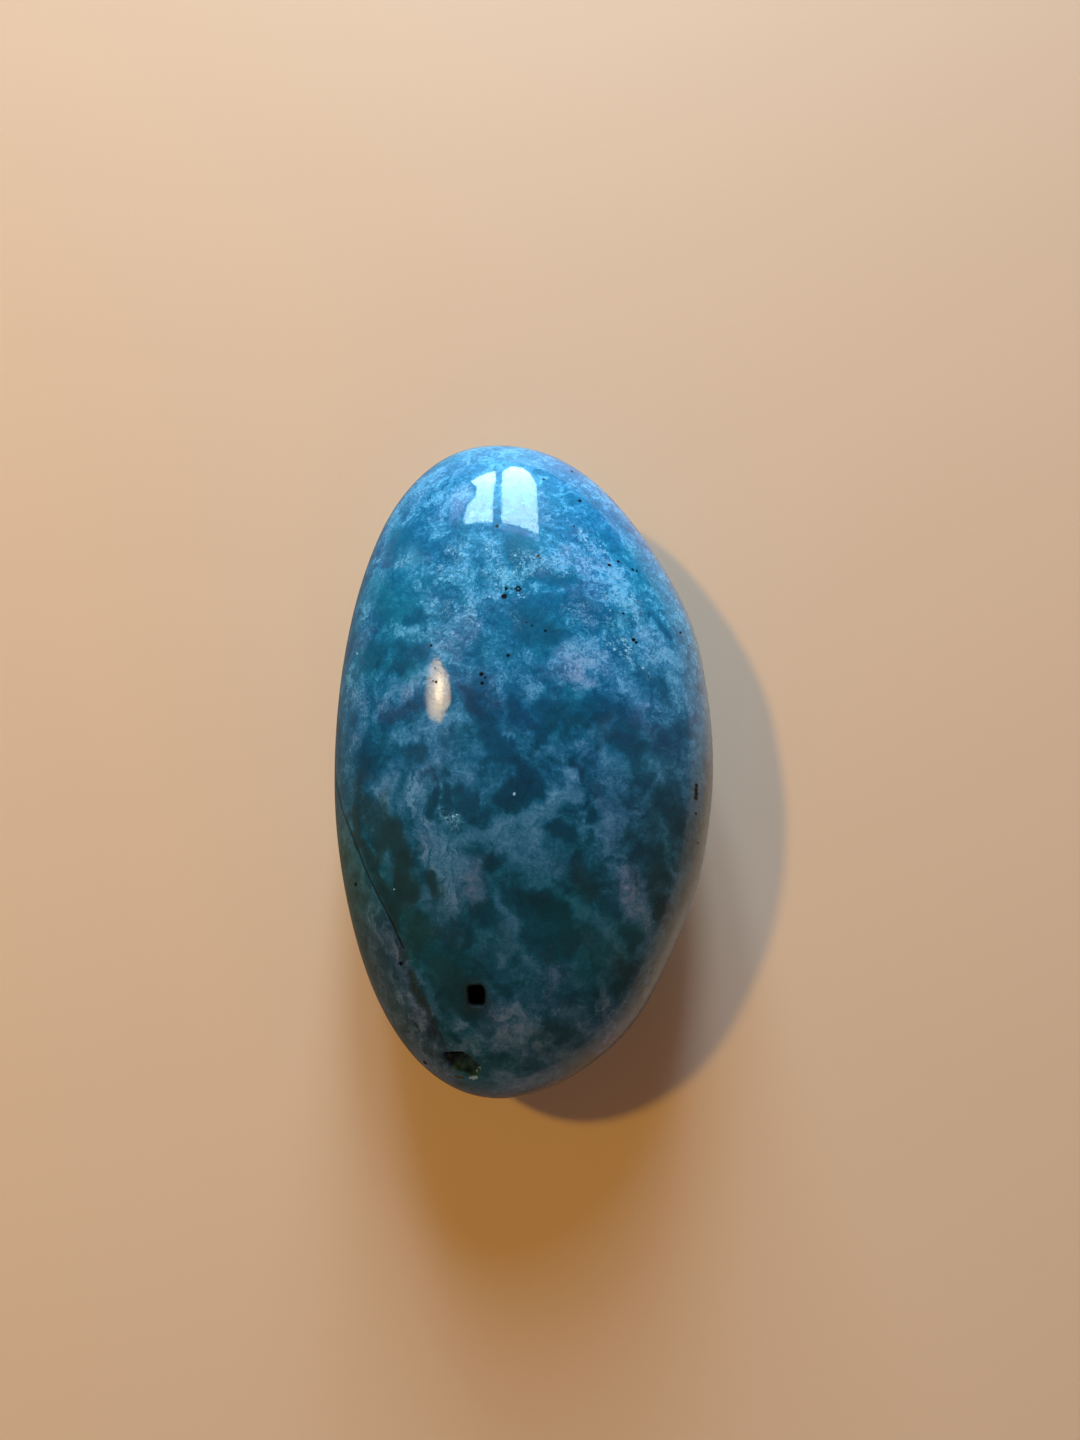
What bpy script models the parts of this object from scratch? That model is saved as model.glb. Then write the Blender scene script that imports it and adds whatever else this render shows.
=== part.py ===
"""Polished amazonite palm stone: one solid in the shape of a flattened egg.

Frame: metres, +Z up, +Y along the length of the stone, +X across it.
The origin is the middle of the small flat spot that the stone rests on.
"""
from math import exp, hypot

import bmesh
import bpy
from mathutils import Matrix, Vector, noise
from mathutils.bvhtree import BVHTree

MM = 0.001

# Driving dimensions of the egg, before its swells and worn places
LENGTH = 65.4 * MM
WIDTH = 37.6 * MM
CROWN_HEIGHT = 11.4 * MM
BELLY_DEPTH = 11.0 * MM
END_BOW = 2.5 * MM
PROFILE_POWER = 2.15

# The worn flat spot under the belly
REST_FLAT_DEPTH = 0.25 * MM
REST_HEIGHT = BELLY_DEPTH - REST_FLAT_DEPTH

# Gentle waviness left by grinding and tumbling
WAVE_HEIGHT = 0.08 * MM
WAVE_LENGTH = 14.0 * MM

# Swells and worn places in mm: x, y, z from the middle of the egg, reach, height
SWELLS = [
    (16.9, 12.3, 1.0, 5.0, 0.25),
    (12.0, 22.5, 1.0, 6.0, -0.15),
    (14.0, -19.0, 1.0, 5.0, -0.30),
    (9.5, -26.8, 1.0, 5.0, 0.25),
    (-18.6, -5.5, 1.0, 7.0, 0.15),
    (17.0, -8.0, 0.0, 6.0, -0.10),
    (-2.0, 32.3, 0.0, 5.0, -0.30),
    (-14.0, 25.0, 0.0, 4.0, 0.10),
]

# The small open pit on the crown, seen from above at x, y
PIT_PLACE = (-4.4 * MM, -22.4 * MM)
PIT_WIDTH = 1.4 * MM
PIT_LENGTH = 1.9 * MM
PIT_DEPTH = 1.4 * MM
PIT_CORNER = 0.45 * MM
PIT_FLARE = 0.25

# The chip broken out near the lower end, seen from above at x, y
CHIP_PLACE = (-6.1 * MM, -28.9 * MM)
CHIP_WIDTH = 3.5 * MM
CHIP_DEPTH = 0.8 * MM
CHIP_ROUGHNESS = 0.55 * MM
CHIP_GRAIN = 0.9 * MM

# Fineness of the faceted solid: each step makes four triangles of one
EGG_STEPS = 5
CHIP_STEPS = 3

STONE_COLOUR = (0.045, 0.185, 0.215, 1.0)
STONE_ROUGHNESS = 0.12


def clear_scene():
    """Remove every object that the file starts with."""
    for scene_object in list(bpy.data.objects):
        bpy.data.objects.remove(scene_object, do_unlink=True)


def new_collection(name):
    """Make a collection under the scene's own."""
    collection = bpy.data.collections.new(name)
    bpy.context.scene.collection.children.link(collection)
    return collection


def stone_material():
    """Polished feldspar: blue-green and glossy."""
    material = bpy.data.materials.new("polished_amazonite")
    material.use_nodes = True
    shader = material.node_tree.nodes["Principled BSDF"]
    shader.inputs["Base Color"].default_value = STONE_COLOUR
    shader.inputs["Roughness"].default_value = STONE_ROUGHNESS
    shader.inputs["Metallic"].default_value = 0.0
    return material


def egg_point(ball_point):
    """Take a point of the unit ball to the plain egg, centred on its middle."""
    depth = CROWN_HEIGHT if ball_point.z > 0 else BELLY_DEPTH
    across = hypot(ball_point.x, ball_point.y)
    gauge = (across ** PROFILE_POWER + abs(ball_point.z) ** PROFILE_POWER) ** (1 / PROFILE_POWER)
    point = Vector((ball_point.x * WIDTH / 2, ball_point.y * LENGTH / 2, ball_point.z * depth))
    return point / gauge


def egg_normal(point):
    """Outward direction of the plain egg at a point of its surface."""
    depth = CROWN_HEIGHT if point.z > 0 else BELLY_DEPTH
    slope = Vector((
        point.x / (WIDTH / 2) ** 2,
        point.y / (LENGTH / 2) ** 2,
        point.z / depth ** 2,
    ))
    return slope.normalized()


def swell_height(point):
    """Height of the swells, worn places and waviness above the plain egg."""
    height = WAVE_HEIGHT * noise.noise(point / WAVE_LENGTH)
    for x, y, z, reach, swell in SWELLS:
        distance = (point - Vector((x, y, z)) * MM).length / (reach * MM)
        height += swell * MM * exp(-distance ** 2)
    return height


def stone_point(ball_point):
    """Take a point of the unit ball to the stone, with the rest flat at z = 0."""
    point = egg_point(ball_point)
    normal = egg_normal(point)
    point.x -= END_BOW * (point.y / (LENGTH / 2)) ** 2
    point += normal * swell_height(point)
    point.z += REST_HEIGHT
    return point


def build_egg(collection):
    """The egg, shaped from a ball of triangles."""
    mesh = bpy.data.meshes.new("amazonite_stone")
    shape = bmesh.new()
    bmesh.ops.create_icosphere(shape, subdivisions=EGG_STEPS, radius=1.0)
    for vertex in shape.verts:
        vertex.co = stone_point(vertex.co.normalized())
    shape.to_mesh(mesh)
    shape.free()
    mesh.shade_smooth()
    stone = bpy.data.objects.new("amazonite_stone", mesh)
    stone.data.materials.append(stone_material())
    collection.objects.link(stone)
    return stone


def crown_frame(stone, place):
    """Frame on the crown above a place: Z out of the stone, Y along its length."""
    shape = bmesh.new()
    shape.from_mesh(stone.data)
    tree = BVHTree.FromBMesh(shape)
    shape.free()
    above = Vector((place[0], place[1], REST_HEIGHT + 2 * CROWN_HEIGHT))
    location, normal, _, _ = tree.ray_cast(above, Vector((0, 0, -1)))
    across = Vector((0, 1, 0)).cross(normal).normalized()
    along = normal.cross(across)
    turn = Matrix((across, along, normal)).transposed().to_4x4()
    return Matrix.Translation(location) @ turn


def cut_from(stone, cutter, name):
    """Take a cutter out of the stone and show the cutter as a guide."""
    cutter.hide_render = True
    cutter.display_type = "WIRE"
    boolean = stone.modifiers.new(name, "BOOLEAN")
    boolean.operation = "DIFFERENCE"
    boolean.solver = "EXACT"
    boolean.object = cutter


def mesh_object(shape, name, collection):
    """Turn an edited shape into an object of a collection."""
    mesh = bpy.data.meshes.new(name)
    shape.to_mesh(mesh)
    shape.free()
    new_object = bpy.data.objects.new(name, mesh)
    collection.objects.link(new_object)
    return new_object


def cut_rest_flat(stone, cutters):
    """Level the underside of the belly at z = 0."""
    shape = bmesh.new()
    bmesh.ops.create_cube(shape, size=1.0)
    size = Vector((WIDTH, LENGTH, BELLY_DEPTH))
    bmesh.ops.scale(shape, vec=size, verts=shape.verts)
    bmesh.ops.translate(shape, vec=(0, 0, -BELLY_DEPTH / 2), verts=shape.verts)
    cutter = mesh_object(shape, "rest_flat_cutter", cutters)
    cut_from(stone, cutter, "rest_flat")


def cut_pit(stone, cutters):
    """Sink the small pit, a rounded box that narrows downwards."""
    shape = bmesh.new()
    bmesh.ops.create_cube(shape, size=1.0)
    for vertex in shape.verts:
        flare = 1 + PIT_FLARE if vertex.co.z > 0 else 1 - PIT_FLARE
        vertex.co.x *= PIT_WIDTH * flare
        vertex.co.y *= PIT_LENGTH * flare
        vertex.co.z *= 2 * PIT_DEPTH
    bmesh.ops.bevel(
        shape,
        geom=list(shape.edges),
        offset=PIT_CORNER,
        segments=3,
        profile=0.5,
        affect="EDGES",
        clamp_overlap=True,
    )
    cutter = mesh_object(shape, "pit_cutter", cutters)
    cutter.matrix_world = crown_frame(stone, PIT_PLACE)
    cut_from(stone, cutter, "pit")


def cut_chip(stone, cutters):
    """Break the chip out of the lower end with a rough lump."""
    shape = bmesh.new()
    bmesh.ops.create_icosphere(shape, subdivisions=CHIP_STEPS, radius=CHIP_WIDTH / 2)
    for vertex in shape.verts:
        outward = vertex.co.normalized()
        roughness = CHIP_ROUGHNESS * noise.noise(vertex.co / CHIP_GRAIN)
        vertex.co += outward * roughness
        vertex.co.z *= 2 * CHIP_DEPTH / CHIP_WIDTH
    cutter = mesh_object(shape, "chip_cutter", cutters)
    cutter.matrix_world = crown_frame(stone, CHIP_PLACE)
    cut_from(stone, cutter, "chip")


def build():
    """Build the stone and its cutters."""
    clear_scene()
    parts = new_collection("amazonite_palm_stone")
    cutters = new_collection("cutters")
    stone = build_egg(parts)
    cut_rest_flat(stone, cutters)
    cut_pit(stone, cutters)
    cut_chip(stone, cutters)


build()
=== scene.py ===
import math
from functools import partial
from math import radians

import bmesh
import bpy
import numpy as np
from mathutils import Matrix, Vector, noise


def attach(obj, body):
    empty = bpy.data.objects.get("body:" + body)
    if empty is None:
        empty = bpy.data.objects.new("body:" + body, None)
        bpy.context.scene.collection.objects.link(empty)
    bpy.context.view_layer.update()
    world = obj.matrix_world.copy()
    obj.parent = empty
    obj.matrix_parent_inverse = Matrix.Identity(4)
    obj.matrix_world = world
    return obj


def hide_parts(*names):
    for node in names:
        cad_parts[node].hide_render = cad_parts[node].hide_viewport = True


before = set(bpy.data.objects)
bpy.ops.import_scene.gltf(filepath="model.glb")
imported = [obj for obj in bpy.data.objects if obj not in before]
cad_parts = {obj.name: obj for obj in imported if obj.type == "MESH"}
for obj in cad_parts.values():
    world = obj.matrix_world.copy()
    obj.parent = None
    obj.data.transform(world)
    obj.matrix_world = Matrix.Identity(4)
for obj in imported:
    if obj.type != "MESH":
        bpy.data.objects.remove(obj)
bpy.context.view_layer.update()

mm = 0.001

print("1 of 5: frame loaded")


def linearColour(hexText):
    # sRGB hex to the linear numbers that shaders and lights take
    channels = [int(hexText[i:i + 2], 16) / 255 for i in (1, 3, 5)]
    linear = [c / 12.92 if c <= 0.04045 else ((c + 0.055) / 1.055) ** 2.4 for c in channels]
    return (*linear, 1.0)


# The stone's form, in mm: the same egg as the solid, with a finer skin
stoneForm = {
    "length": 65.4,
    "width": 37.6,
    "crownHeight": 11.4,
    "bellyDepth": 11.0,
    "endBow": 2.5,  # both ends lean to -X by this much
    "profilePower": 2.15,  # 2 would be a plain ellipse from the side
    "restFlatDepth": 0.25,
    "waveHeight": 0.08,
    "waveLength": 14.0,
    "swells": [  # x, y, z from the egg's middle, reach, height
        (16.9, 12.3, 1.0, 5.0, 0.25), (12.0, 22.5, 1.0, 6.0, -0.15),
        (14.0, -19.0, 1.0, 5.0, -0.30), (9.5, -26.8, 1.0, 5.0, 0.25),
        (-18.6, -5.5, 1.0, 7.0, 0.15), (17.0, -8.0, 0.0, 6.0, -0.10),
        (-2.0, 32.3, 0.0, 5.0, -0.30), (-14.0, 25.0, 0.0, 4.0, 0.10),
    ],
    "ballSteps": 7,  # fineness of the skin: 82,000 triangles before the hollows
}

# Hollows in the skin, in mm; places are x, y on the crown seen from above
stoneHollows = {
    # edge and wall are shares of the half width; torn rows hold a grain in mm and such a share
    "pit": {"place": (-4.45, -22.45), "halfWidth": 0.72, "halfLength": 0.95, "depth": 1.3,
            "edge": 1.12, "wall": 0.3, "torn": [(0.5, 0.07)], "halo": 2.2},
    "chip": {"place": (-5.9, -28.95), "halfWidth": 1.95, "halfLength": 1.3, "depth": 0.65,
             "edge": 1.05, "wall": 0.35, "torn": [(1.3, 0.3), (0.5, 0.12)],
             "turn": -35.0, "grain": 0.8, "steps": (0.75, 0.5, 0.25),  # level, large, small
             "slope": (1.3, -0.5, 0.3),  # in the middle, change across, change along
             "depths": (0.15, 1.9)},  # least and most, as shares of the depth
    "crack": {
        "route": [(-18.3, -2.6), (-17.5, -5.0), (-16.6, -7.0), (-15.8, -8.7), (-15.0, -10.7),
                  (-14.2, -12.3), (-13.0, -14.5), (-12.0, -16.3), (-11.1, -18.2)],
        "halfWidth": 0.16, "depth": 0.07, "edge": 1.4,
        "waver": 0.12,  # as a share of the marks' wavering
    },
    "fineReach": {"pit": 1.9, "chip": 3.0, "crack": 0.7},  # finer skin this far around
    "thickness": 3.0,  # a hollow's rule holds this near its own side of the stone
    "flankEdge": [(-9.6, -21.5), (-7.8, -26), (-6.5, -29)],  # the crack's line runs on
    "flankBlend": 0.5,
    "flankTop": (-1.5, -4.5),  # mm along the stone where the flank starts and is full
}

# Markings, each a row (strength, radius, points x, y on the crown seen from above, in mm)
stoneMarks = {}
stoneMarks["torn"] = [(2.2, 0.9), (0.9, 0.45)]  # each edge wavers with this grain and reach, in mm
stoneMarks["crownStart"] = 7.0  # mm above the table where the placed marks begin
stoneMarks["crownFull"] = 12.0
stoneMarks["clouds"] = [  # pale lavender-blue albite
    (0.3, 3, (7.5, 16.5), (10, 13), (12, 15)), (0.5, 2.2, (16.8, 11), (17.6, 2)),
    # the far end
    (0.9, 1.6, (-6, 31.5), (0, 32), (5, 30.5)), (0.6, 1.2, (7, 28), (10.5, 24), (13, 19.5)),
    (0.5, 1, (14.5, 16), (16.2, 12), (17.2, 8)), (0.5, 1, (-13.5, 22), (-12, 25.5), (-8, 28.5)),
    # sparkling band across the upper third
    (0.7, 1.3, (2.2, 19), (4.5, 18.5), (7, 17.8)), (0.6, 1.2, (5, 18), (6, 16.4)),
    (0.7, 0.6, (0.5, 16.4), (2, 17.2), (3.6, 16.8)), (0.8, 0.9, (-7.2, 16), (-5.2, 16.3)),
    (0.45, 1.2, (-4.5, 14.4), (-1.2, 14.6)), (0.5, 0.6, (-2.7, 19.8), (-2.1, 18.4)),
    (0.7, 1, (8.6, 16.8), (9.6, 15.4), (10.6, 13.8)), (0.6, 0.6, (9.3, 13.4), (10.6, 12.6)),
    (0.45, 0.25, (2.2, 14.8), (5, 14.4), (7.2, 14.1)), (0.5, 0.8, (-9.2, 14.4), (-8.4, 13.2)),
    (0.7, 0.35, (-15.9, 13.4), (-15.1, 15)), (0.4, 1.1, (-3, 17), (-1, 16.6)),
    # upper left
    (1, 0.85, (-11.6, 10.8), (-10, 10.4), (-8.8, 10.2)), (0.55, 0.5, (-12.5, 8.3), (-11.2, 8.1)),
    (0.55, 1.2, (-9.4, 7), (-11, 5.6), (-12.6, 4.4)),
    (0.45, 1.2, (-8, 8.8), (-5.8, 10.6), (-4.2, 12.2)), (0.5, 1, (-5.6, 12.6), (-4.6, 14)),
    (0.6, 0.8, (-15.6, 5.4), (-15, 3.2), (-15.6, 1)), (0.6, 1, (-9, 2), (-7, 1.9), (-5.2, 2.6)),
    (0.55, 0.7, (-2.3, 5.6), (-1, 6.4)),
    (0.8, 0.24, (-3.5, 4.2), (-3, 2.4), (-2, 0.9), (-0.9, 0.2)),
    (0.55, 0.8, (-12.4, 0.4), (-10.2, 1)), (0.5, 0.7, (-8.2, -1.2), (-7.6, -2)),
    (0.55, 1.1, (-12.4, -3), (-12.8, -5)), (0.5, 0.6, (-5.8, -2), (-4.6, -2.6)),
    (0.5, 0.6, (-10.8, -1.4), (-12, -2)), (0.4, 0.6, (-9.6, -3.2), (-10.8, -5.6)),
    # upper right
    (0.9, 1.1, (3.6, 8), (5, 8.8), (6.6, 8.4)), (0.75, 0.8, (3.2, 7.2), (4.6, 7.4), (6.8, 7.3)),
    (0.75, 0.75, (4.7, 5.8), (5.9, 5.6)), (0.6, 0.5, (3.2, 5.7)), (0.9, 0.8, (0.7, 5.8), (1.5, 5)),
    (0.6, 0.8, (0.3, 7.6)), (1, 1.2, (10.8, 10.6), (12.4, 10.8)),
    (0.8, 1.3, (11.6, 9.2), (13.6, 8.4)), (0.5, 1.4, (14.4, 7.4), (15, 5)),
    (0.85, 0.18, (14.1, 5.2), (14.4, 4.3), (14.9, 3.5)), (0.4, 1.1, (10, 4.8), (11.4, 4.2)),
    (0.4, 0.7, (13, 2.4)), (0.35, 0.9, (8.4, 6.5), (9.4, 5.6)),
    # middle
    (0.65, 0.5, (6.6, 1.4), (5.6, 0.4), (4.6, -0.5)), (0.5, 0.6, (2, -1), (2.6, -0.6)),
    (0.65, 0.65, (3.4, -1.6), (4.2, -3), (4.9, -4.3)), (0.5, 1, (7.4, -2), (8.4, -3.8)),
    (0.35, 0.8, (12.2, -2.4), (12, -4)), (0.3, 0.5, (1.2, 2.2)),
    (0.45, 0.4, (2.4, 0.6), (3.2, 1.8)), (0.85, 0.75, (-9.8, -4.2), (-9, -6.6), (-8.2, -8.6)),
    (0.55, 0.3, (-7.7, -5.4), (-6.2, -7.6)), (0.8, 0.9, (-8.2, -8.8), (-8.4, -10.6)),
    (0.4, 0.18, (-6.3, -5), (-5.7, -7.4)), (0.8, 0.85, (-6.6, -8.9), (-4.4, -8.4), (-2, -7.6)),
    (0.75, 0.8, (-2, -7.4), (0.2, -6.6), (2.2, -5.9)), (0.7, 0.7, (2.6, -5.6), (4.8, -4.4)),
    (0.6, 1.2, (0.4, -8), (-1.4, -9.6)), (0.6, 1.3, (-7, -9.6), (-6.2, -11)),
    (0.7, 1.1, (-6.4, -11), (-5.8, -13.4)), (0.65, 0.7, (-4.5, -11.4), (-4.5, -13.6)),
    (0.5, 0.35, (-7.5, -12), (-6.4, -14.2)), (0.4, 0.7, (-8.4, -13.6), (-9, -14.8)),
    (0.45, 0.6, (-2.5, -11.6), (-1.8, -12.4)),
    (0.65, 0.5, (-2.7, -14.4), (-1.5, -16.6), (-0.4, -18)), (0.6, 0.5, (0.2, -19.4), (1, -20.4)),
    (0.3, 0.4, (-6.3, -15.4), (-6, -18)), (0.3, 0.4, (-4.6, -16.6), (-4.2, -17.6)),
    (0.5, 0.9, (8.3, -6.7), (7.6, -9.2)), (0.5, 1.3, (0.8, -10.8), (1.6, -12)),
    (0.5, 0.6, (1.2, -12.5), (-0.6, -12.5)), (0.3, 0.3, (5.5, -7.6), (5, -8.4)),
    # lower right
    (0.8, 0.5, (3.5, -13.1), (4.4, -14.2), (5.9, -15.2), (7, -17)),
    (0.35, 0.4, (7, -17), (9.4, -18.6)), (1, 1.1, (9.4, -14.6), (10.6, -15.2)),
    (0.8, 0.7, (9.5, -12.4), (9.6, -13.8)), (0.4, 0.4, (9.1, -10.8), (9.5, -12)),
    (0.6, 0.9, (11.6, -17), (13.4, -16.4)), (0.5, 0.5, (13.4, -14.8), (14.4, -12)),
    (0.6, 0.4, (10.8, -18.8), (11.5, -20.2), (10.9, -21.8)),
    # bottom end
    (0.4, 0.4, (2.3, -20.4), (2.5, -21.4)), (0.75, 0.4, (7, -22), (7.5, -23.4), (7.5, -24.2)),
    (0.6, 0.5, (4.6, -25.6), (6.2, -26.5), (7.6, -26.6)), (0.6, 0.6, (1.4, -27), (2.1, -27.3)),
    (0.5, 0.8, (3.4, -28), (4.8, -28.6)), (0.5, 0.5, (8.4, -24.4), (9.2, -23)),
    (0.55, 1.3, (-2, -24), (0, -24.8)), (0.5, 0.8, (-2.4, -26.4), (-1, -27)),
    (0.7, 0.45, (-6.3, -24), (-5.8, -25.5)), (0.5, 0.5, (-4.2, -24.8)), (0.4, 0.9, (-7.6, -24)),
    (0.6, 0.7, (-7, -27), (-6, -27.2)), (0.4, 0.7, (-5, -26.4), (-4.4, -28)),
    (0.4, 0.9, (-3, -30), (0, -30.6), (3, -30)),
    # the left flank below the crack
    (0.65, 0.45, (-14.5, -14.4), (-13.7, -16.4), (-12.6, -18.4)),
    (0.7, 0.5, (-12.5, -17), (-11.7, -18.8)),
    (0.7, 0.5, (-11.2, -21.4), (-10.3, -23.5), (-9.4, -25.6), (-8, -27.4)),
    (0.4, 0.28, (-9.6, -20.4), (-8.8, -21.8), (-8.1, -23)),
    (0.7, 0.4, (-13, -20), (-12.2, -22.3), (-10.6, -24.6)),
]
stoneMarks["pools"] = [  # clear dark stone, seen deep into
    (0.35, 2.4, (-3.5, 13), (-0.5, 11.5)), (0.5, 1.4, (-15.4, 2.6), (-14.2, -1.4), (-10.4, -1.2)),
    (0.5, 1, (-12.6, 2.2), (-9.6, 3.4)), (0.7, 1.1, (-12.8, 19.2), (-11.2, 21.2)),
    (0.6, 0.8, (-9.4, 19.8), (-7, 19.7)), (0.75, 1.2, (-0.2, 19.2), (0.4, 17.8)),
    (0.6, 0.5, (-6.2, 17.4)), (0.5, 0.4, (-11.9, 15.7)), (0.5, 0.5, (-4, 17), (-4.4, 17.6)),
    (0.55, 0.45, (-2.2, 21.2)), (0.8, 0.7, (1, 15.4), (3, 15.7), (4.6, 16)),
    (0.5, 1.2, (0.6, 13), (4, 13.2), (7.4, 12.8)), (0.85, 1.5, (0.2, 11.4), (1.6, 10)),
    (0.5, 0.7, (8.2, 20.2), (9.8, 18.8), (9.5, 17.6)), (0.9, 0.55, (12.3, 12.6), (13.9, 10.9)),
    (0.5, 0.5, (8.2, 12.4), (7.6, 11.2)), (0.55, 1.2, (-14.8, 9.2), (-11.6, 9.2), (-9.4, 8.8)),
    (0.9, 0.6, (-12.4, 6.9), (-10.6, 7.3)), (0.7, 0.55, (-11.2, 11.9), (-9, 12.2)),
    (0.4, 1.2, (-14, 12.5), (-13, 15)), (1, 0.85, (-4.3, 4.2), (-3.4, 1.8), (-2.4, 0)),
    (0.9, 0.9, (-2.4, -0.4), (-1.2, -1)), (0.8, 0.8, (-1, 3.1), (0.4, 1.8)),
    (0.5, 0.5, (-10.7, 2.4)), (0.85, 0.8, (-15.5, 0.2), (-14.8, -3)), (0.6, 0.6, (-7, 1.4)),
    (0.5, 0.7, (-9.6, -0.4)), (0.6, 0.6, (-7, -2.4)), (0.95, 1.1, (-0.2, -2.8), (-1.2, -4.8)),
    (0.9, 1, (1.2, -3.2), (0.8, -4.6)), (0.75, 0.6, (3, 4.8), (4.3, 4.4)), (0.6, 0.5, (6.6, 5)),
    (0.75, 1.2, (2, 3), (4.4, 2.6), (7, 3)), (0.7, 0.7, (1.5, 1.5), (1.5, 0)),
    (1, 1, (8.6, 0.8), (10, -0.4)), (0.7, 0.9, (9, 3), (10, 2)), (0.7, 0.6, (4.4, -1.5), (5, -2.2)),
    (0.6, 0.45, (6.7, -0.7)), (0.8, 0.6, (5.8, -5), (6, -7)),
    (0.55, 0.9, (10.8, -3.4), (10.4, -1.8)), (0.5, 1.2, (13, 0), (14.2, 1)),
    (0.6, 1.2, (13, -4), (14, -7)), (0.45, 0.9, (11.4, 6), (12.8, 5)),
    (0.9, 0.5, (-8.4, -4.6), (-8, -6.8)), (0.8, 0.5, (-7, -4.4), (-6.6, -5.6)),
    (0.85, 1, (-5.4, -4.8), (-4, -6.4)), (0.8, 0.7, (3, -8), (4.2, -8.6)),
    (0.8, 0.7, (-3.1, -10.4), (-2.9, -11)), (0.95, 1.2, (-1.4, -13.2), (-0.2, -14.6)),
    (0.8, 0.7, (-4.6, -14.6), (-3.4, -15.2)), (0.95, 1.3, (0.6, -14.8), (2.6, -15.6)),
    (0.85, 1.5, (1, -17), (3.4, -18)), (0.3, 1.4, (5, -18), (6.4, -20)), (0.6, 1.3, (3.6, -22.4)),
    (0.95, 1, (4.6, -11), (6, -12.4)), (0.8, 0.8, (9.4, -10.4), (10.4, -9.8)),
    (0.8, 1, (12, -10), (12.4, -12.2)), (0.9, 0.7, (11.8, -13.6), (12.8, -15.6)),
    (0.95, 0.65, (7.3, -14.4), (8.1, -15.6)), (0.8, 0.8, (9, -17), (10, -18.2)),
    (0.7, 0.7, (9.4, -20.6), (8.6, -22)), (0.7, 0.8, (2.3, -25.4)), (0.8, 0.6, (3, -27)),
    (0.6, 0.5, (0.1, -27)), (0.5, 0.5, (6.4, -22.4)), (0.5, 0.8, (5, -28.6)),
    (1, 1.7, (-7, -20.6), (-5.4, -23.4)), (0.7, 1.2, (-6.6, -17), (-5.6, -19.4)),
    (0.7, 0.8, (-4, -19.4), (-3, -20)), (0.6, 0.5, (-1.2, -19.8)), (0.6, 0.4, (-6.2, -26.2)),
    (0.5, 0.4, (-3.6, -25.8)), (0.5, 0.6, (-5.3, -16.8)), (0.7, 1.1, (-8.6, -17), (-9, -19.4)),
    (0.7, 0.7, (-2.4, -22), (-1.4, -22.4)),
]
stoneMarks["clear"] = [  # smooth turquoise stone, free of crumbs
    (0.8, 1.6, (-8, 30), (0, 31.8), (7, 29.3)), (0.9, 1.6, (-12.4, 20.3), (-10.7, 18.2)),
    (0.9, 1.9, (-13.9, 15.7), (-12.2, 13.4)), (0.5, 1.4, (-10.2, 13.6), (-9.6, 15)),
    (0.8, 1.5, (-15, 9), (-12.6, 8.6), (-10.6, 7.4)), (0.9, 1.3, (-0.3, 19), (0.8, 17.4)),
    (0.8, 1.7, (0.6, 11.4), (2, 9.8)), (0.3, 1.6, (5.4, 12.8), (8.6, 11.4)),
    (0.8, 2.2, (4, 3), (8, 1), (10.5, -1)), (0.7, 1, (1, 15.5), (4.6, 15.9)),
    (0.45, 1.6, (10.4, 18.6), (12.6, 14.6)), (0.8, 2.2, (3.1, -14), (5, -17.5), (7, -21)),
    (0.7, 1.8, (8.5, -17), (9, -20)),
    (0.7, 1.6, (-12.8, -8.4), (-11.8, -11.2), (-9.5, -16.5), (-9, -19)),
    (0.7, 1.4, (-6, -19), (-5.6, -21.6)), (0.6, 2.2, (13, -6), (13.6, -10)),
    (0.5, 2, (17.5, 2), (17.6, -6), (15.8, -14), (13, -21)),
]
stoneMarks["greenPools"] = [  # the darkest, bottle green ones
    (0.9, 1.2, (-13.2, -5.5), (-12.8, -8.4)), (1, 0.9, (-12.4, -6.4), (-11.6, -8)),
    (1, 1, (-11.6, -9), (-10.8, -10.6)), (0.9, 0.7, (-13.3, -9), (-13.6, -11)),
    (1, 1.1, (-11, -12), (-10.7, -13.6)), (0.9, 0.7, (-8.6, -11.7), (-7.6, -12.8)),
    (0.8, 0.8, (-12.8, -13.2), (-11.8, -15)), (0.9, 0.7, (-16.2, -5.6), (-15.2, -8.4)),
    (0.9, 0.7, (-15, -9), (-13.6, -12)), (0.9, 0.55, (-13.4, -12.6), (-11.6, -16)),
    (0.7, 0.9, (-15.4, -3), (-14.6, -6)),
    (1, 0.5, (-10.5, -20.8), (-9.6, -22.5), (-8.9, -24), (-8, -25.6)),
    (0.6, 1.4, (-9.6, -16.4), (-10.4, -18.4)), (0.6, 0.9, (5, -11.4), (6, -13)),
    (0.6, 0.8, (12.2, -11.4), (12.4, -15)), (0.2, 1.4, (4.6, -17), (8.4, -20)),
    (0.4, 1.6, (-7, -20.6), (-5.4, -23)), (0.4, 1.6, (2, -26), (5, -29)),
]
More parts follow.
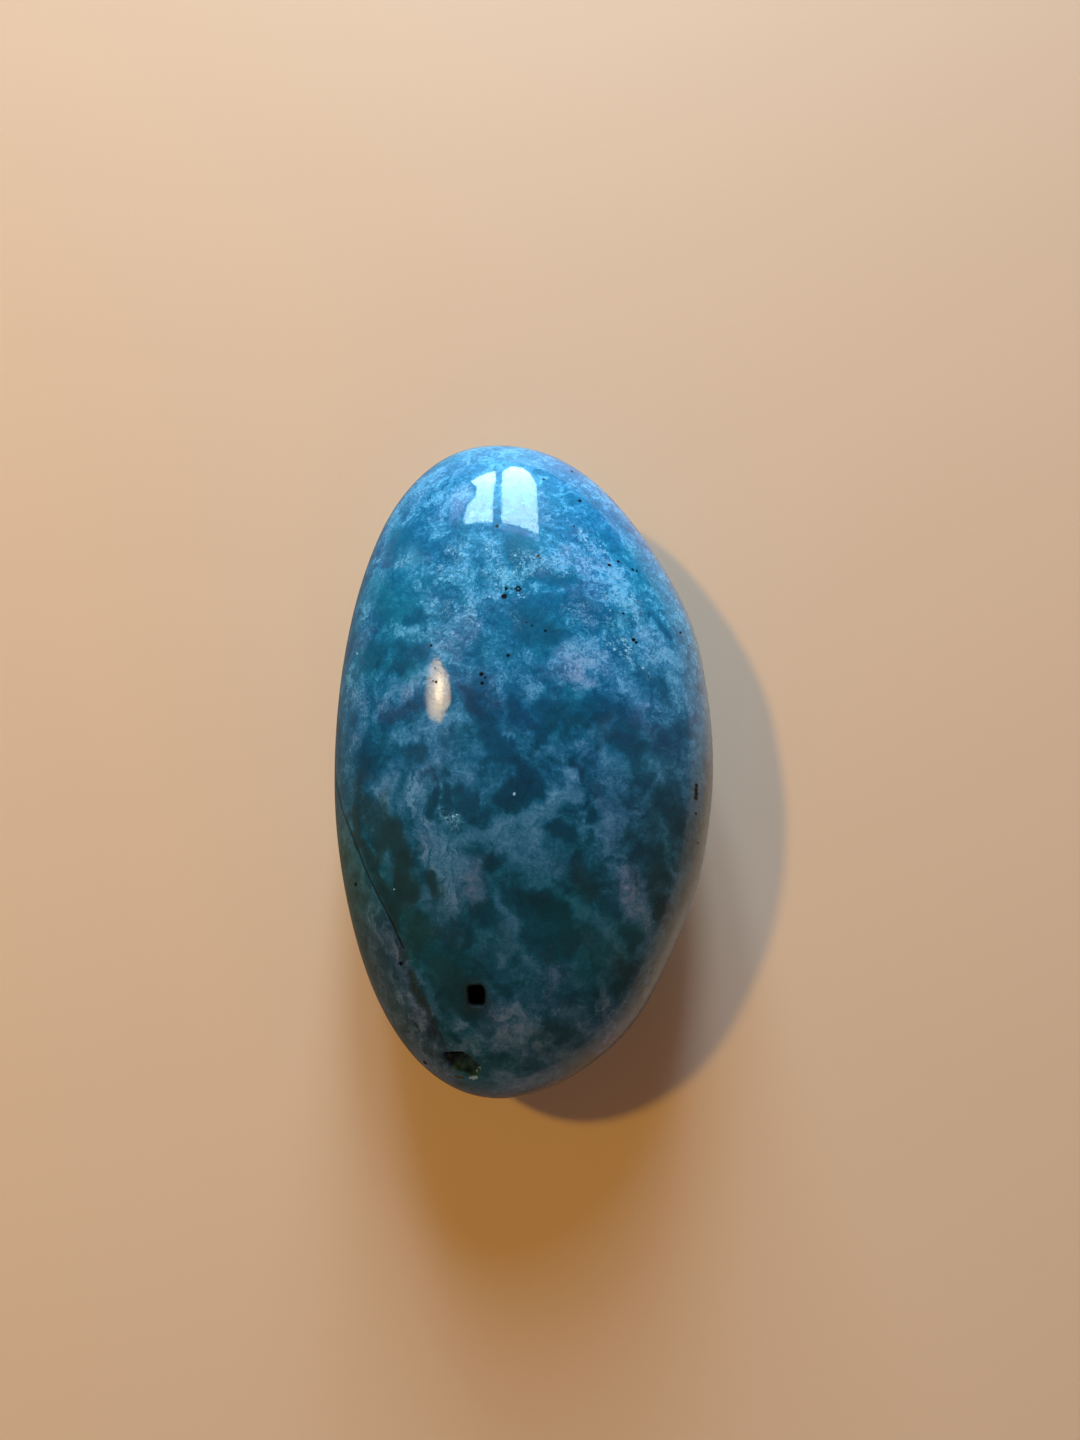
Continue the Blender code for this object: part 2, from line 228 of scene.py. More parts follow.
stoneMarks["lavender"] = [  # clouds with a pinkish cast
    (0.8, 1.5, (1, 17), (4, 18), (7, 17.6)), (0.6, 1.6, (-5, 13), (-1, 14)),
    (0.8, 1, (4.8, 5.8), (6, 5.6)), (0.7, 1.6, (11.6, 10.2), (13.4, 8.6)),
    (0.6, 1.8, (4.2, 8), (6.4, 8)), (0.7, 1.6, (-9, 8), (-12, 4.6)),
    (0.6, 1.2, (-7, 9.6), (-5, 11.2)), (1, 1.6, (9.4, -12.6), (10.2, -15.2)),
    (0.7, 1.1, (-8.6, -7), (-8.4, -10.6)), (0.9, 0.9, (-4.5, -11.4), (-4.5, -13.8)),
    (0.9, 1.2, (11.4, -17), (13.6, -15.6)), (0.7, 1, (5.6, -26.4), (7.6, -26.6)),
    (0.7, 0.9, (7, -22.4), (7.6, -24.4)), (0.6, 1.6, (-2, -24.4), (0.6, -25.4)),
    (0.7, 1, (-7, -27), (-5.4, -27.6)), (0.6, 1.2, (-12.4, -17.6), (-11.4, -19)),
    (0.5, 1.2, (-15.6, 5), (-15.6, 1.4)), (0.5, 1.2, (-12, -3.4), (-13.4, -5.4)),
]
stoneMarks["paintedGlints"] = [  # painted highlight: cleavage cracks painted bright where they catch the light under the polish
    (0.9, 0.9, (0.4, 16.5), (2, 17.1), (3.6, 16.9)),
    (0.8, 0.7, (5.5, 20.7), (6.2, 19.7), (7.2, 18.6)), (0.7, 1.1, (8.6, 16.8), (9.4, 15.4)),
    (0.9, 0.9, (9.2, 14), (10.6, 13.6)), (0.6, 1, (10.6, 12.4)), (0.9, 0.7, (8.6, 9.6), (9.7, 8.6)),
    (0.7, 0.5, (10.8, 7.4), (11.3, 7.2)), (0.6, 0.8, (13.9, 8.6), (14.4, 7)),
    (0.7, 0.9, (-7.4, 16.4), (-5.4, 16.6)), (0.6, 0.8, (-6.8, 18.8), (-6, 19)),
    (0.6, 1, (-2.8, 18.8), (-2.4, 15.4)), (0.6, 0.6, (-0.4, 13.6), (0.2, 13.8)),
    (0.5, 0.9, (-5.4, 13), (-4.2, 12.2)), (0.5, 0.8, (-8.4, 13.4), (-7, 12.8)),
    (0.6, 0.7, (-11.4, 18.2), (-10.8, 18.8)), (0.5, 0.7, (-0.6, 11.6)),
    (0.6, 0.5, (-0.6, 18.6), (0.2, 18)), (0.5, 0.6, (-6.6, -6.2), (-6, -6.6)),
    (0.5, 0.9, (11.6, 10.6), (12.6, 9)), (0.4, 1, (4.4, 8.6), (6, 7.8)),
    (0.5, 0.7, (1.6, 24.8), (2.6, 22)), (0.4, 1.4, (5.4, 12.2), (8, 11.6)),
]
stoneMarks["fibres"] = [  # zones where the lamellae show as fine threads
    (1, 1.6, (-9.8, -3.6), (-8.8, -7), (-8, -10)), (0.9, 1.4, (-7.4, -4.6), (-6, -7.4)),
    (0.7, 1.4, (-7, -10), (-6, -14)), (0.7, 1.6, (9.6, -12), (12.4, -17)),
    (0.8, 1.6, (13.4, -12), (12.2, -18)), (0.8, 1.5, (-13.6, -16), (-11.4, -19.6)),
    (0.7, 1.5, (-11, -21), (-8.6, -27)), (0.6, 1.4, (2.2, 14.6), (7.2, 14)),
    (0.5, 1.4, (3.4, -13), (7, -17)), (0.6, 1.5, (7, -22), (7.4, -26)),
]
stoneMarks["specks"] = [  # black mineral grains: x, y, radius
    (-0.14, 14.5, 0.11), (-0.25, 14.68, 0.11), (-0.45, 14.68, 0.11), (-0.56, 14.5, 0.11),
    (-0.45, 14.32, 0.11), (-0.25, 14.32, 0.11), (-1.45, 14.55, 0.15), (-1.65, 13.8, 0.24),
    (-0.95, 14.55, 0.06), (-8.45, 9.35, 0.13), (-3.75, 6.4, 0.17), (-3.4, 6.05, 0.09),
    (-3.7, 5.55, 0.15), (-1.3, 8.1, 0.13), (10.35, 9.85, 0.17), (10.6, 9.6, 0.13),
    (15.2, 11.25, 0.13), (16, 10.1, 0.1), (8.3, 17.3, 0.14), (9.2, 17.8, 0.13), (10.6, 17.15, 0.13),
    (11, 17.05, 0.1), (5.7, 24.3, 0.16), (2.2, 26.6, 0.12), (5, 21.2, 0.1), (-11.4, -19.6, 0.17),
    (-15.9, -12.4, 0.17), (-8.2, 5.95, 0.1), (-7.95, 5.85, 0.12), (-8.05, 7.15, 0.08),
    (-2.3, 21.05, 0.16), (5.05, 28.3, 0.14), (16.25, -3.6, 0.2), (16.22, -3.95, 0.22),
    (16.2, -4.35, 0.22), (16.15, -4.75, 0.2), (16.1, -6.2, 0.14), (16.35, -8.9, 0.1),
    (2.1, 10.4, 0.12), (0.4, 11.2, 0.08), (0.9, 10.9, 0.08), (9.5, 12.4, 0.1), (-9.6, -29, 0.2),
]
stoneMarks["rust"] = [  # ochre and brown grains
    (1.55, 17.85, 0.13), (1.7, 17.6, 0.09), (-6.6, -30.1, 0.14), (-6.3, -30.15, 0.16),
    (-6, -30.2, 0.13),
]
stoneMarks["glare"] = [  # facets of the chip that catch the window
    (-5.25, -30.15, 0.12), (-5, -30.15, 0.17), (-4.75, -30.1, 0.14), (-4.7, -29.5, 0.2),
    (-4.5, -29.2, 0.18),
]
stoneMarks["paintedSparks"] = [  # painted highlight: single bright points of cleaved crystal: x, y, radius
    (5.65, 20.7, 0.12), (6.1, 19.75, 0.11), (8.5, 8.8, 0.12), (9.6, 8.75, 0.12), (11.15, 7.15, 0.1),
    (10.9, 9.3, 0.07), (10.35, 14.35, 0.09), (-3, 13.8, 0.09), (-0.3, 13.9, 0.09),
    (0.2, 13.65, 0.07), (-6.35, -6.5, 0.09), (-6, -6.35, 0.06), (-0.85, -4.6, 0.12),
    (-11.9, -12.9, 0.06), (-16, 9.6, 0.09), (1.95, 24.9, 0.07), (8.2, 12.6, 0.07),
    (-6.9, 18.75, 0.08), (-4, 11, 0.08), (-3.3, 18.6, 0.09), (-0.6, 17.9, 0.09), (12.3, 9, 0.06),
    (7.5, 19.3, 0.07),
]

paintedKinds = ("clouds", "pools", "clear", "greenPools", "lavender", "paintedGlints", "fibres")
markKinds = paintedKinds + ("crown", "crack", "flank", "pit", "chip", "pitHalo")
farAway = 9.0  # more than any distance or reach that counts


def smoothNoise(points, grain, shift=0.0):
    # gradient noise at each point, grain in mm
    offset = Vector((shift, shift, shift))
    return np.array([noise.noise(Vector(p) / grain + offset) for p in points])


def eggSurface(ball, form):
    # points of the unit ball to the stone in mm, by the same rule as the solid
    halfWidth, halfLength = form["width"] / 2, form["length"] / 2
    depth = np.where(ball[:, 2] > 0, form["crownHeight"], form["bellyDepth"])
    power = form["profilePower"]
    across = np.hypot(ball[:, 0], ball[:, 1])
    gauge = (across ** power + np.abs(ball[:, 2]) ** power) ** (1 / power)
    halves = np.stack([np.full(len(ball), halfWidth), np.full(len(ball), halfLength), depth], 1)
    points = ball * halves / gauge[:, None]
    normals = points / halves ** 2
    normals /= np.linalg.norm(normals, axis=1)[:, None]
    points[:, 0] -= form["endBow"] * (points[:, 1] / halfLength) ** 2
    height = form["waveHeight"] * smoothNoise(points, form["waveLength"])
    for x, y, z, reach, swell in form["swells"]:
        distance = np.linalg.norm(points - (x, y, z), axis=1) / reach
        height += swell * np.exp(-distance ** 2)
    points += normals * height[:, None]
    points[:, 2] += form["bellyDepth"] - form["restFlatDepth"]
    return points


def crownFinder(ball, points):
    # gives the point of the crown above x, y, from the nearest skin points
    crown = points[ball[:, 2] > 0.02]  # a little above the rim

    def find(x, y):
        gap = (crown[:, 0] - x) ** 2 + (crown[:, 1] - y) ** 2
        nearest = np.argsort(gap)[:3]
        weight = 1 / (gap[nearest] + 1e-6)
        return np.array([x, y, (crown[nearest, 2] * weight).sum() / weight.sum()])

    return find


def routeDistance(points, route):
    # distance in mm from each point to a line through the route's points
    best = np.full(len(points), 1e9)
    starts = route[:-1] if len(route) > 1 else route
    ends = route[1:] if len(route) > 1 else route
    for start, end in zip(starts, ends):
        along = end - start
        share = np.clip((points - start) @ along / max(along @ along, 1e-9), 0, 1)
        best = np.minimum(best, np.linalg.norm(points - start - share[:, None] * along, axis=1))
    return best


def smoothStep(value):
    value = np.clip(value, 0, 1)
    return value * value * (3 - 2 * value)


def paintMarks(points, find, marks):
    # soft cover from 0 to 1 of all the marks of one kind
    clear = np.ones(len(points))
    for strength, radius, *places in marks:  # full to half the radius, gone at one and a half
        route = np.array([find(x, y) for x, y in places])
        clear *= 1 - strength * smoothStep(1.5 - routeDistance(points, route) / radius)
    return 1 - clear


def localFrame(find, place):
    # point and axes on the crown: across, along and out of the stone
    x, y = place
    middle = find(x, y)
    step = 0.5
    across = find(x + step, y) - find(x - step, y)
    along = find(x, y + step) - find(x, y - step)
    out = np.cross(across, along)
    out /= np.linalg.norm(out)
    across /= np.linalg.norm(across)
    return middle, across, np.cross(out, across), out


def tornReach(points, hollow, reach, shift):
    # how far out each point is, with the hollow's torn edge; shift starts the noise elsewhere
    for grain, height in hollow["torn"]:
        reach = reach + height * smoothNoise(points, grain, shift)
        shift += 1
    return reach


def sinkPit(points, find):
    # a rounded box with steep walls; gives the sinking, its cover and how far out each point is
    pit = stoneHollows["pit"]
    middle, across, along, out = localFrame(find, pit["place"])
    offset = points - middle
    u = np.abs(offset @ across) / pit["halfWidth"]
    v = np.abs(offset @ along) / pit["halfLength"]
    reach = tornReach(points, pit, (u ** 4 + v ** 4) ** 0.25, 7.0)
    near = np.abs(offset @ out) < stoneHollows["thickness"]
    cover = np.where(near, smoothStep((pit["edge"] - reach) / pit["wall"]), 0)
    return -cover[:, None] * out * pit["depth"], cover, np.where(near, reach, farAway)


def sinkChip(points, find):
    # a shallow broken hollow with stepped, gritty walls; gives the sinking and its cover
    chip = stoneHollows["chip"]
    middle, across, along, out = localFrame(find, chip["place"])
    offset = points - middle
    turn = radians(chip["turn"])
    u = offset @ (across * math.cos(turn) + along * math.sin(turn)) / chip["halfWidth"]
    v = offset @ (along * math.cos(turn) - across * math.sin(turn)) / chip["halfLength"]
    reach = tornReach(points, chip, np.hypot(u, v), 3.0)
    near = np.abs(offset @ out) < stoneHollows["thickness"]
    cover = np.where(near, smoothStep((chip["edge"] - reach) / chip["wall"]), 0)
    level, large, small = chip["steps"]
    steps = level + large * smoothNoise(points, chip["grain"], 5.0)
    steps += small * smoothNoise(points, chip["grain"] / 3, 6.0)
    base, sideways, lengthwise = chip["slope"]
    depths = np.clip(steps * (base + sideways * u + lengthwise * v), *chip["depths"])
    sink = cover * chip["depth"] * depths
    return -sink[:, None] * out, cover


def crackRoute(find):
    return np.array([find(x, y) for x, y in stoneHollows["crack"]["route"]])


def refineSkin(shape, find, form):
    # split the skin twice where the hollows are, so that their walls are real shape
    routes = {kind: np.array([find(*stoneHollows[kind]["place"])]) for kind in ("pit", "chip")}
    routes["crack"] = crackRoute(find)
    for share in (1.0, 0.8):  # the second round stays a little nearer
        shape.edges.ensure_lookup_table()
        middles = np.array([(e.verts[0].co + e.verts[1].co) / 2 for e in shape.edges])
        middles /= np.linalg.norm(middles, axis=1)[:, None]
        places = eggSurface(middles, form)
        chosen = np.zeros(len(places), bool)
        for kind, route in routes.items():
            reach = stoneHollows["fineReach"][kind]
            chosen |= routeDistance(places, route) < reach * share
        edges = [shape.edges[i] for i in np.nonzero(chosen)[0]]
        bmesh.ops.subdivide_edges(shape, edges=edges, cuts=1, use_grid_fill=True)
        bmesh.ops.triangulate(shape, faces=shape.faces[:])
        for vertex in shape.verts:
            vertex.co.normalize()


def crownFields(points, find):
    # cover of each kind of mark at each point; edges waver, so that none ends in a round blob
    waver = 0.0
    shift = 11.0  # each layer of noise starts at its own shift
    for grain, reach in stoneMarks["torn"]:
        shifts = (shift, shift + 1, shift + 2)
        waver = waver + reach * np.stack([smoothNoise(points, grain, s) for s in shifts], 1)
        shift += 3
    fields = {kind: paintMarks(points + waver, find, stoneMarks[kind]) for kind in paintedKinds}
    start, full = stoneMarks["crownStart"], stoneMarks["crownFull"]
    fields["crown"] = smoothStep((points[:, 2] - start) / (full - start))

    crack = stoneHollows["crack"]
    crackGap = routeDistance(points + crack["waver"] * waver, crackRoute(find))
    fields["crack"] = smoothStep(crack["edge"] - crackGap / crack["halfWidth"])
    # the flank is the side of the crack away from the crown's middle
    edge = np.array(crack["route"] + stoneHollows["flankEdge"])
    edge = edge[np.argsort(edge[:, 1])]
    edgeX = np.interp(points[:, 1], edge[:, 1], edge[:, 0])
    beside = smoothStep((edgeX - points[:, 0]) / stoneHollows["flankBlend"] + 0.5)
    top, full = stoneHollows["flankTop"]
    fields["flank"] = beside * smoothStep((top - points[:, 1]) / (top - full))
    return fields


def newObject(name, shape, material=None):
    mesh = bpy.data.meshes.new(name)
    shape.to_mesh(mesh)
    shape.free()
    made = bpy.data.objects.new(name, mesh)
    bpy.context.scene.collection.objects.link(made)
    if material:
        mesh.materials.append(material)
    return made


def buildStone():
    shape = bmesh.new()
    bmesh.ops.create_icosphere(shape, subdivisions=stoneForm["ballSteps"], radius=1.0)
    coarse = np.array([v.co for v in shape.verts])
    find = crownFinder(coarse, eggSurface(coarse, stoneForm))
    refineSkin(shape, find, stoneForm)
    ball = np.array([v.co for v in shape.verts])
    ball /= np.linalg.norm(ball, axis=1)[:, None]
    points = eggSurface(ball, stoneForm)

    fields = crownFields(points, find)
    pitSink, fields["pit"], pitReach = sinkPit(points, find)
    chipSink, fields["chip"] = sinkChip(points, find)
    fields["pitHalo"] = np.clip(stoneHollows["pit"]["halo"] - pitReach, 0, 1)
    height = stoneForm["crownHeight"] + stoneForm["bellyDepth"]
    halves = np.array([stoneForm["width"], stoneForm["length"], height]) / 2
    outward = points / halves ** 2
    outward /= np.linalg.norm(outward, axis=1)[:, None]
    crackSink = -outward * (fields["crack"] * stoneHollows["crack"]["depth"])[:, None]
    points = points + pitSink + chipSink + crackSink
    points[:, 2] = np.maximum(points[:, 2], 0.0)  # the flat that it rests on
    for vertex, point in zip(shape.verts, points):
        vertex.co = Vector(point) * mm
    stone = newObject("polishedStone", shape)
    stone.data.shade_smooth()
    for name, values in fields.items():
        layer = stone.data.attributes.new(name, "FLOAT", "POINT")
        layer.data.foreach_set("value", values.astype(np.float32))
    print("    skin:", len(stone.data.polygons), "triangles")
    return stone, find


stone, findCrown = buildStone()
print("2 of 5: stone built")


# Amazonite: blue-green potassium feldspar with albite clouds, tumbled to a wet polish. It gives
# the eye a clear cyan end full of broken crystal and a deep teal end with torn pale clouds.
# A row of four numbers holds two places in mm, or two values of a pattern or mark, and then
# what it gives at each.
amazonite = {
    # five depths of tone at each end of the stone, from clear and dark to dense and pale
    "upperTones": ["#005580", "#046d9f", "#1281b3", "#2b97cb", "#68caf8"],
    "lowerTones": ["#0c2b38", "#0c475e", "#155f7e", "#35759c", "#5f96bc"],
    "tonePlaces": (0.04, 0.31, 0.5, 0.71, 0.96),
    "toneReach": 2.4,  # the tone runs from minus this to plus this
    "pureEnds": (-15.0, 19.0),  # mm along the stone where each set is pure
    "borderSway": 12.0,  # mm between the farthest bends of the border between them
    # painted highlight colour of the cleaved crystal
    "paintedSparks": "#8fdcff",
    "glare": "#86b4ff",
    "rust": "#41401f",
    "specks": "#04060a",
    # painted shade: near black inside the pit
    "pitShade": "#020202",
    "pitHalo": "#20251f",
    "chipFloor": "#13262b",
    "chipOlive": "#2b4b53",
    # painted shade: dark brown in the chip's upper left
    "chipShadeBrown": "#1a0f08",
    "crackLine": "#0c1518",
    "swirlGrain": 2.0,  # mm, bends the swirled patterns
    "swirl": 4.4,  # mm between the farthest bends
    "swirledPatterns": {  # grain in mm, detail, roughness
        "bank": (7.5, 2.0, 0.5),
        "cloud": (3.0, 7.0, 0.64),
        "tuft": (1.1, 6.0, 0.7),
        "rise": (1.7, 2.5, 0.55),  # cleavage steps climb on it
    },
    "plainPatterns": {
        "crumb": (0.34, 3.0, 0.8),  # broken crystal
        "chip": (0.76923, 5.0, 0.7),
        "ripple": (0.36, 4.0, 0.6),
    },
    "hueGrain": 4.1667,
    "seamGrain": 1.1765,
    "flakeGrain": 0.26,
    "scratchGrain": 1.0,
    "shardGrain": 1.3,
    "splinterGrain": 0.42,
    "lamellaWidth": 0.4,  # one albite lamella
    "lamellaLength": 3.4,
    "lamellaTurn": 28.0,  # degrees from across the stone
    "stepsPerRise": 8.0,
    # how much each pattern moves the tone
    "bankShare": (4.0, 1.4),  # off the marked crown, and on it
    "cloudShare": 2.6,
    "tuftShare": (3.0, 0.75),  # off the flank, and on it
    "lamellaShares": {"fibres": 5.0, "flank": 4.0, "everywhere": 1.2},
    "grainShares": {  # each a range row along the stone
        "crumb": (-2.0, 17.0, 1.5, 4.6),
        "shard": (-3.0, 14.0, 0.0, 1.1),
        "splinter": (-3.0, 14.0, 0.1, 1.4),
        "step": (-3.0, 14.0, 0.12, 1.47),
    },
    "grainByTone": (-1.1, 0.9, 0.45, 1.25),  # fine grain is weak in dark stone
    "clearCalm": -0.6,
    # how the placed marks move the tone
    "tornEdges": {"cloud": 1.6, "tuft": 2.6},
    "edgeWidth": 0.75,
    "crispMarkTone": 0.68,
    "softMarkTone": 0.62,
    "markMiddle": 2.0,  # mm along the stone where the marks are strongest
    "markReach": 18.0,
    "markContrast": (1.2, 0.78),  # there, and that far from it
    "markTones": {"clear": -0.3, "flank": -0.3},
    "calmBelow": (-4.0, -12.0, 1.0, 0.84),
    "livelyTip": (-18.0, -23.0, 0.0, 0.26),
    "paleEnds": [(-18.0, -25.0, 0.0, 0.5), (21.0, 31.0, 0.0, 1.3)],
    # changes of the finished colour: a hue of 1 is a full turn
    "wildHue": (0.36, 0.64, -0.55, 0.3),
    "lavenderTufts": (3.0, -1.1),  # the cast shows only where the tufts are dense
    "lavenderPink": 1.1,
    "pinkHue": 0.012,
    "pinkGrey": -0.16,
    "markChanges": {  # hue, saturation, brightness
        "greenPools": (-0.018, -0.1, -0.3),
        "clear": (-0.012, 0.0, 0.0),
        "flank": (0.0, -0.08, 0.06),
    },
    "rightHue": (9.0, 16.0, 0.0, -0.012),  # greener across to the right
    "tipHue": (-18.0, -24.0, 0.0, 0.013),  # bluer along to the lower tip
    "flankHue": (-18.0, -10.0, 0.014, -0.016),
    "middleHue": 0.007,  # the middle is a purer blue than either end
    "middleWidth": 11.0,  # mm
    # painted light and shade across the upper end: darker on the left, brighter on the right
    "paintedLightBrightness": (-9.0, 9.0, -0.07, 0.15),
    "milkySide": (6.0, 14.0),  # mm, the lower right is a little milky
    "milkyChange": (-0.1, 0.14),  # saturation, brightness
    # painted highlight of cleaved crystal: a cut is where a pattern starts to show, and where it
    # shows in full
    "paintedGlintStrength": 1.3,
    "scatteredPaintedGlints": 0.05,
    "flakeCut": (0.53, 0.59),
    "clusterCut": (0.4, 0.56),
    "seamWidth": (0.022, 0.004),
    "seamStrength": 0.8,
    # hollows and grains
    "crackCover": 0.75,
    "haloCover": 0.4,
    "haloRim": (0.8, 1.0, 0.0, 0.35),  # darker yet right beside the pit
    "pitShadeCut": (0.05, 0.4),
    "chipCover": (0.85, 1.3, 0.0, 0.9),
    "chipRaggedness": 1.2,
    "oliveCut": (0.42, 0.62),
    "shadedCornerPlace": (-6.9, -28.3),  # mm, painted shade in the chip's upper left, under its overhanging edge
    "shadedCornerReach": (2.1, 1.5),
    "shadedCornerRaggedness": 1.6,
    "grainShape": (1.0, 1.0, 0.4),  # tall and narrow, so that it also shows on the chip's floor
    "grainRaggedness": 1.8,
    "grainEdge": (2.3, 1.8),
    # finish
    "ior": 1.52,
    "bodySpecular": 0.2,
    "bodyRoughness": 0.34,
    "brokenRoughness": 0.5,  # added in the chip and at the pit's lip
    "coatRoughness": 0.028,
    "rippleHeight": 0.0026,  # mm
    "innerHeight": 0.022,
    "scratchWidth": (0.03, 0.008),
    "scratchDulling": 0.4,
    "lipCut": (0.7, 0.9),
    "brokenChipCut": (0.02, 0.1),
}

# kinds of node that come often, some with what they are set to and the output they give
noiseKind = "ShaderNodeTexNoise"
vectorKind = "ShaderNodeVectorMath"
mathKind = "ShaderNodeMath"
plus, minus, times, timesPlus, larger = (
    (mathKind, {"operation": name}, 0)
    for name in ("ADD", "SUBTRACT", "MULTIPLY", "MULTIPLY_ADD", "MAXIMUM")
)
rangeKind = "ShaderNodeMapRange"  # takes value, from low, from high, to low, to high
softRange = (rangeKind, {"interpolation_type": "SMOOTHSTEP"}, 0)
mixColours = ("ShaderNodeMix", {"data_type": "RGBA"}, 2)  # takes 0: share, 6 and 7: the colours


def addNode(tree, kind, inputs=(), output=0, **settings):
    # one node with its settings; an input is a value or the socket that feeds it
    if isinstance(kind, tuple):
        kind, standard, output = kind
        settings = {**standard, **settings}
    node = tree.nodes.new(kind)
    for name, value in settings.items():
        setattr(node, name, value)
    for place, value in (inputs.items() if isinstance(inputs, dict) else enumerate(inputs)):
        if isinstance(value, bpy.types.NodeSocket):
            tree.links.new(value, node.inputs[place])
        else:
            node.inputs[place].default_value = value
    return node.outputs[output] if node.outputs else node


def emptyTree(owner):
    # clears the nodes of a material or world, and gives addNode for its tree
    owner.use_nodes = True
    owner.node_tree.nodes.clear()
    return partial(addNode, owner.node_tree)


def toneRamp(add, look, tone, hexColours):
    spread = add(rangeKind, (tone, -look["toneReach"], look["toneReach"]))
    ramp = add("ShaderNodeValToRGB", (spread,))
    stops = ramp.node.color_ramp.elements
    while len(stops) < len(hexColours):
        stops.new(0.5)
    for stop, place, hexText in zip(stops, look["tonePlaces"], hexColours):
        stop.position = place
        stop.color = linearColour(hexText)
    return ramp


def brokenCrystal(add, look, mark, pattern, swirled, along):
    # the fine grains, centred on zero, each with its share in the tone
    turned = add("ShaderNodeMapping", {
        "Vector": swirled,
        "Rotation": (0, 0, -radians(look["lamellaTurn"])),
        "Scale": (1 / look["lamellaWidth"], 1 / look["lamellaLength"], 1 / look["lamellaLength"]),
    }, vector_type="POINT")
    lamella = add(noiseKind, {"Vector": turned, "Scale": 1.0, "Detail": 4.0, "Roughness": 0.6})
    grains = {"tuft": pattern["tuft"], "crumb": pattern["crumb"], "lamella": lamella}
    # shards with sharp borders, each a little lighter or darker than the next
    for kind in ("shard", "splinter"):
        cells = add("ShaderNodeTexVoronoi", {"Vector": swirled, "Scale": 1 / look[kind + "Grain"]},
                    output="Color")
        grains[kind] = add("ShaderNodeSeparateColor", (cells,))
    # cleavage steps climb slowly and end in a sharp edge
    climb = add(times, (pattern["rise"], look["stepsPerRise"]))
    grains["step"] = add(mathKind, (climb,), operation="FRACT")

    shares = {kind: add(rangeKind, (along, *row)) for kind, row in look["grainShares"].items()}
    shares["tuft"] = add(rangeKind, (mark["flank"], 0.0, 1.0, *look["tuftShare"]))
    lamellae = look["lamellaShares"]
    fibrous = add(timesPlus, (mark["fibres"], lamellae["fibres"], lamellae["everywhere"]))
    shares["lamella"] = add(timesPlus, (mark["flank"], lamellae["flank"], fibrous))
    return [(add(minus, (grains[kind], 0.5)), share) for kind, share in shares.items()]


def amazoniteTone(add, look, mark, pattern, swirled, along):
    # how dense and pale the stone is at each point, mostly within the tone's reach
    coarse = {name: add(minus, (pattern[name], 0.5)) for name in ("bank", "cloud", "tuft")}
    # the placed clouds and pools end in torn edges
    dark = add(larger, (mark["pools"], mark["greenPools"]))
    painted = add(minus, (mark["clouds"], dark))
    edge = painted
    for name, share in look["tornEdges"].items():
        edge = add(timesPlus, (coarse[name], share, edge))
    width, height = look["edgeWidth"], look["crispMarkTone"]
    crispMark = add(softRange, (edge, -width, width, -height, height))
    tone = add(timesPlus, (painted, look["softMarkTone"], crispMark))
    # the marks stand out most in the middle of the stone
    fromMiddle = add(minus, (along, look["markMiddle"]))
    fromMiddle = add(times, (fromMiddle, 1 / look["markReach"]))
    squared = add(times, (fromMiddle, fromMiddle))
    contrast = add(rangeKind, (squared, 0.0, 1.0, *look["markContrast"]))
    tone = add(times, (tone, contrast))
    # the wild banks take over where no marks are placed: on the flanks and below
    bankShare = add(rangeKind, (mark["crown"], 0.0, 1.0, *look["bankShare"]))
    tone = add(timesPlus, (coarse["bank"], bankShare, tone))
    tone = add(timesPlus, (coarse["cloud"], look["cloudShare"], tone))
    for kind, change in look["markTones"].items():
        tone = add(timesPlus, (mark[kind], change, tone))

    # the clear pools are smooth, and the broken crystal shows where the stone is clouded
    grainy = add(softRange, (tone, *look["grainByTone"]))
    calm = add(timesPlus, (mark["clear"], look["clearCalm"], 1.0))
    grainy = add(times, (grainy, calm))
    for grain, share in brokenCrystal(add, look, mark, pattern, swirled, along):
        share = add(times, (share, grainy))
        tone = add(timesPlus, (grain, share, tone))
    # the lower part is calmer, its tip is livelier, and both ends are paler
    calmer = add(rangeKind, (along, *look["calmBelow"]))
    livelier = add(rangeKind, (along, *look["livelyTip"]))
    tone = add(times, (tone, add(plus, (calmer, livelier))))
    for row in look["paleEnds"]:
        tone = add(plus, (tone, add(rangeKind, (along, *row))))
    return tone


